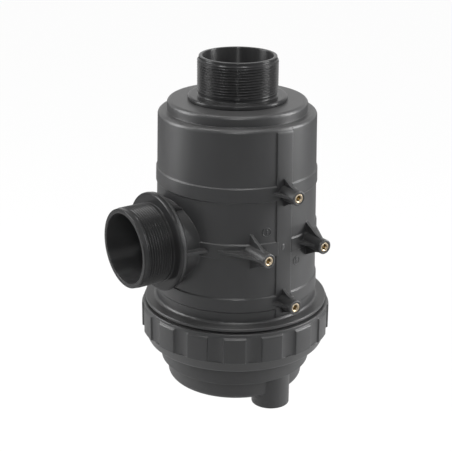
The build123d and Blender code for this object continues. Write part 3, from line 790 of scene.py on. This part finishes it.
def castellated_nut():
    """A closed lathe profile that nowhere passes the pad ring's radius between rim and cone."""
    radius, drop = filled_in(softened([
        (NUT_BORE_R, NUT_TOP, 0.0005), (RIM_R, NUT_TOP, 0.0006), (RIM_R, PAD_RISE, 0.0001),
        (PAD_R, PAD_TOP, 0.0007), (PAD_R, PAD_FOOT, 0.0006), (RIM_R, PAD_FOOT, 0.0001),
        (CONE_FOOT_R, NUT_BOTTOM, 0.0013), (LIP_R, NUT_BOTTOM, 0.0006), (LIP_R, LIP_TOP, 0.0003),
        (NUT_BORE_R, LIP_TOP, 0.0006),
    ]), 0.0009).T
    cone_start = (drop > PAD_FOOT - 0.00001) & (radius < RIM_R + 0.00001)
    padded = (radius > NOTCH_R) & (drop >= PAD_RISE) & (drop <= PAD_FOOT) & ~cone_start
    ring_radius, ring_turn = pad_ring()
    starts = NUT_START + np.arange(PAD_COUNT) * 2 * pi / PAD_COUNT
    turn = (starts[:, None] + ring_turn[None, :]).ravel()
    limit = np.tile(ring_radius, PAD_COUNT)
    cut_back = np.where(padded[:, None], np.minimum(radius[:, None], limit), radius[:, None])
    return round_about_z(cut_back, drop, turn)[:-1]


nut_plastic = moulded_plastic(
    "nut_plastic", DARK_GREY, (0.032, 0.0323, 0.033), smooth=0.36, rough=0.42, radius=0.0004
)
nut = skin_mesh("castellated_ring_nut", castellated_nut()[:, ::-1], nut_plastic, sharp=40)
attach(nut, "ring_nut")
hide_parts("ring_nut")

slip_plastic = moulded_plastic(
    "slip_plastic", (0.66, 0.65, 0.61), (0.78, 0.77, 0.73), smooth=0.28, rough=0.4, radius=0.0002,
    dust=0.02, wear_and_sheen_lift=0.0,
)
dress("nut_slip_ring", slip_plastic)


# Drain plug. A black flanged plug with a hexagon socket and a thread of half-inch pipe pitch, screwed
# up into the spout on an O-ring.

SPOUT_OFFSET = 0.0431
SPOUT_TURN = radians(5.3)
PLUG_PITCH = 0.001814
PLUG_DEPTH = 0.0009
PLUG_FACE = 0.2638
SOCKET_R = 0.005
SOCKET_FLOOR = 0.2578
SOCKET_MOUTH_R = 0.0054
SOCKET_MOUTH = 0.2635
HEAD_R = 0.0126
HEAD_SEAT = 0.2617
SHANK_R = 0.0097
SHANK_ROOT_R = 0.0088
SHANK_FOOT = 0.2608
SHANK_TOP = 0.2517


def socket_plug():
    """A lathe profile from the middle of the socket's floor round the head and up the shank to its
    middle. Inside the socket the radius is divided by cos(turn) within each sixth, which makes the
    hexagon, and on the shank the thread's cut lowers it, faded over one pitch at both ends."""
    radius, drop = filled_in(softened([
        (0, SOCKET_FLOOR, 0), (SOCKET_R, SOCKET_FLOOR, 0.0002), (SOCKET_R, SOCKET_MOUTH, 0.0002),
        (SOCKET_MOUTH_R, PLUG_FACE, 0.0001), (HEAD_R, PLUG_FACE, 0.0005), (HEAD_R, HEAD_SEAT, 0.0003),
        (SHANK_ROOT_R, HEAD_SEAT, 0.0001), (SHANK_ROOT_R, SHANK_FOOT, 0.0001), (SHANK_R, 0.2600, 0.0001),
        (SHANK_R, 0.2527, 0.0001), (SHANK_ROOT_R, SHANK_TOP, 0.0002), (0, SHANK_TOP, 0),
    ], closed=False), 0.00022).T
    turn = np.linspace(0, 2 * pi, 96, endpoint=False)
    sixth = (turn + pi / 6) % (pi / 3) - pi / 6
    inner = np.clip((0.0056 - radius) / 0.0004, 0, 1) * (drop > 0.257)
    hexagon = 1 + inner[:, None] * (1 / np.cos(sixth) - 1)
    shank = (radius > 0.0087) & (drop < 0.2609)
    depth = PLUG_DEPTH * shank * faded(drop, 0.2519, 0.2606, PLUG_PITCH)
    threaded = radius[:, None] * hexagon - depth[:, None] * thread_cut(drop, turn, PLUG_PITCH)
    spout = np.array([SPOUT_OFFSET * sin(SPOUT_TURN), -SPOUT_OFFSET * cos(SPOUT_TURN), 0.0])
    return round_about_z(threaded, drop, turn) + spout


plug_plastic = moulded_plastic(
    "plug_plastic", (0.016, 0.016, 0.017), (0.026, 0.026, 0.027), smooth=0.3, rough=0.42, radius=0.0
)
plug = skin_mesh("socket_drain_plug", socket_plug(), plug_plastic, close_rows=False, sharp=40)
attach(plug, "drain_plug")
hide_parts("drain_plug")


# Studio. A pale floor, low enough for the bowl and the cartridge to come down, soft boxes at both
# sides and above, a narrow strip and two small boxes for the gleams, and a dim pale room. The camera
# stands where the photograph's fits.

STUDIO_TURN = radians(-35.0)
LAMP_AIM = (0.0, 0.0, -0.13)
FLOOR_Z = -0.495
FLOOR_HALF = 9
EYE_BACK = 0.85
EYE_UP = 0.19
EYE_DIP = 20.8
EYE_PAN = 0.52
EYE_ROLL = 0.48


def studio_place(x, y, z):
    """A point given about the object as the camera faces it, turned into the shared frame."""
    return Vector((
        x * cos(STUDIO_TURN) - y * sin(STUDIO_TURN), x * sin(STUDIO_TURN) + y * cos(STUDIO_TURN), z
    ))


def soft_box(name, x, y, z, width, height, power):
    """An area lamp at a studio place, its face turned to the middle of the housing."""
    lamp = bpy.data.lights.new(name, "AREA")
    lamp.shape = "RECTANGLE"
    lamp.size, lamp.size_y, lamp.energy = width, height, power
    holder = bpy.data.objects.new(name, lamp)
    holder.location = studio_place(x, y, z)
    holder.rotation_mode = "QUATERNION"
    holder.rotation_quaternion = (studio_place(*LAMP_AIM) - holder.location).to_track_quat("-Z", "Y")
    bpy.context.scene.collection.objects.link(holder)


soft_box("left_box", -1.15, 0.05, 0.25, width=0.5, height=1.0, power=18.0)
soft_box("right_box", 1.15, 0.0, 0.25, width=0.4, height=1.0, power=23.0)
soft_box("top_box", 0.0, 0.1, 1.3, width=0.9, height=0.7, power=4.0)
soft_box("strip_box", 0.0, -1.4, 0.75, width=0.07, height=0.8, power=11.0)
soft_box("high_left_box", -0.6, -0.13, 1.2, width=0.22, height=0.22, power=4.5)
soft_box("high_right_box", 0.28, -0.53, 1.2, width=0.22, height=0.22, power=4.5)


def light_path(tree):
    """The Light Path node, and a value that is 1 for rays straight from the camera or through glass."""
    path = add(tree, "ShaderNodeLightPath")
    return path, sums(tree, "MAXIMUM", path.outputs["Is Camera Ray"], path.outputs["Is Transmission Ray"])


def pale_floor():
    """Matt paper that lights the object as grey does, and to the camera adds its own even glow."""
    material, tree, shader = new_material("pale_floor")
    shader.inputs["Base Color"].default_value = (0.5, 0.5, 0.5, 1.0)
    shader.inputs["Roughness"].default_value = 0.9
    shader.inputs["Specular IOR Level"].default_value = 0.1
    glow = add(tree, "ShaderNodeEmission")
    glow.inputs["Strength"].default_value = 1.05
    _, direct = light_path(tree)
    mixer = add(tree, "ShaderNodeMixShader")
    tree.links.new(sums(tree, "MULTIPLY", direct, 0.92), mixer.inputs[0])
    tree.links.new(shader.outputs[0], mixer.inputs[1])
    tree.links.new(glow.outputs[0], mixer.inputs[2])
    tree.links.new(mixer.outputs[0], tree.nodes["Material Output"].inputs["Surface"])
    return material


floor_mesh = bpy.data.meshes.new("floor")
floor_corners = [(x * FLOOR_HALF, y * FLOOR_HALF, FLOOR_Z) for x, y in ((-1, -1), (1, -1), (1, 1), (-1, 1))]
floor_mesh.from_pydata(floor_corners, [], [(0, 1, 2, 3)])
floor_mesh.materials.append(pale_floor())
floor = bpy.data.objects.new("floor", floor_mesh)
bpy.context.scene.collection.objects.link(floor)


def pale_room():
    """A room that is white to the camera and dim to the object. Its far side, past the object, is
    white to glossy rays too, as the paper behind is."""
    room = bpy.data.worlds.new("pale_room")
    room.use_nodes = True
    tree = room.node_tree
    backdrop = tree.nodes["Background"]
    backdrop.inputs["Color"].default_value = (1.0, 1.0, 1.0, 1.0)
    path, direct = light_path(tree)
    towards = add(tree, "ShaderNodeVectorMath", operation="DOT_PRODUCT")
    tree.links.new(add(tree, "ShaderNodeTexCoord").outputs["Generated"], towards.inputs[0])
    towards.inputs[1].default_value = studio_place(0.0, -1.0, 0.0)
    away = sums(tree, "SUBTRACT", -0.2, towards.outputs["Value"], clamp=True)
    far_side = sums(tree, "MULTIPLY", away, 1.4, clamp=True)
    shiny = sums(tree, "MULTIPLY", path.outputs["Is Glossy Ray"], far_side)
    white = sums(tree, "MAXIMUM", direct, shiny)
    tree.links.new(between(tree, white, 0.15, 1.0), backdrop.inputs["Strength"])
    return room


bpy.context.scene.world = pale_room()

camera = bpy.data.cameras.new("camera")
camera.sensor_width = 36.0
camera.lens = 94.78
camera.clip_start = 0.05
camera.clip_end = 40.0
viewer = bpy.data.objects.new("camera", camera)
viewer.matrix_world = (
    Matrix.Rotation(STUDIO_TURN, 4, "Z")
    @ Matrix.Translation((0.0, -EYE_BACK, EYE_UP))
    @ Matrix.Rotation(radians(EYE_PAN), 4, "Z")
    @ Matrix.Rotation(radians(90 - EYE_DIP), 4, "X")
    @ Matrix.Rotation(radians(EYE_ROLL), 4, "Z")
)
bpy.context.scene.collection.objects.link(viewer)
bpy.context.scene.camera = viewer
bpy.context.scene.view_settings.view_transform = "Standard"
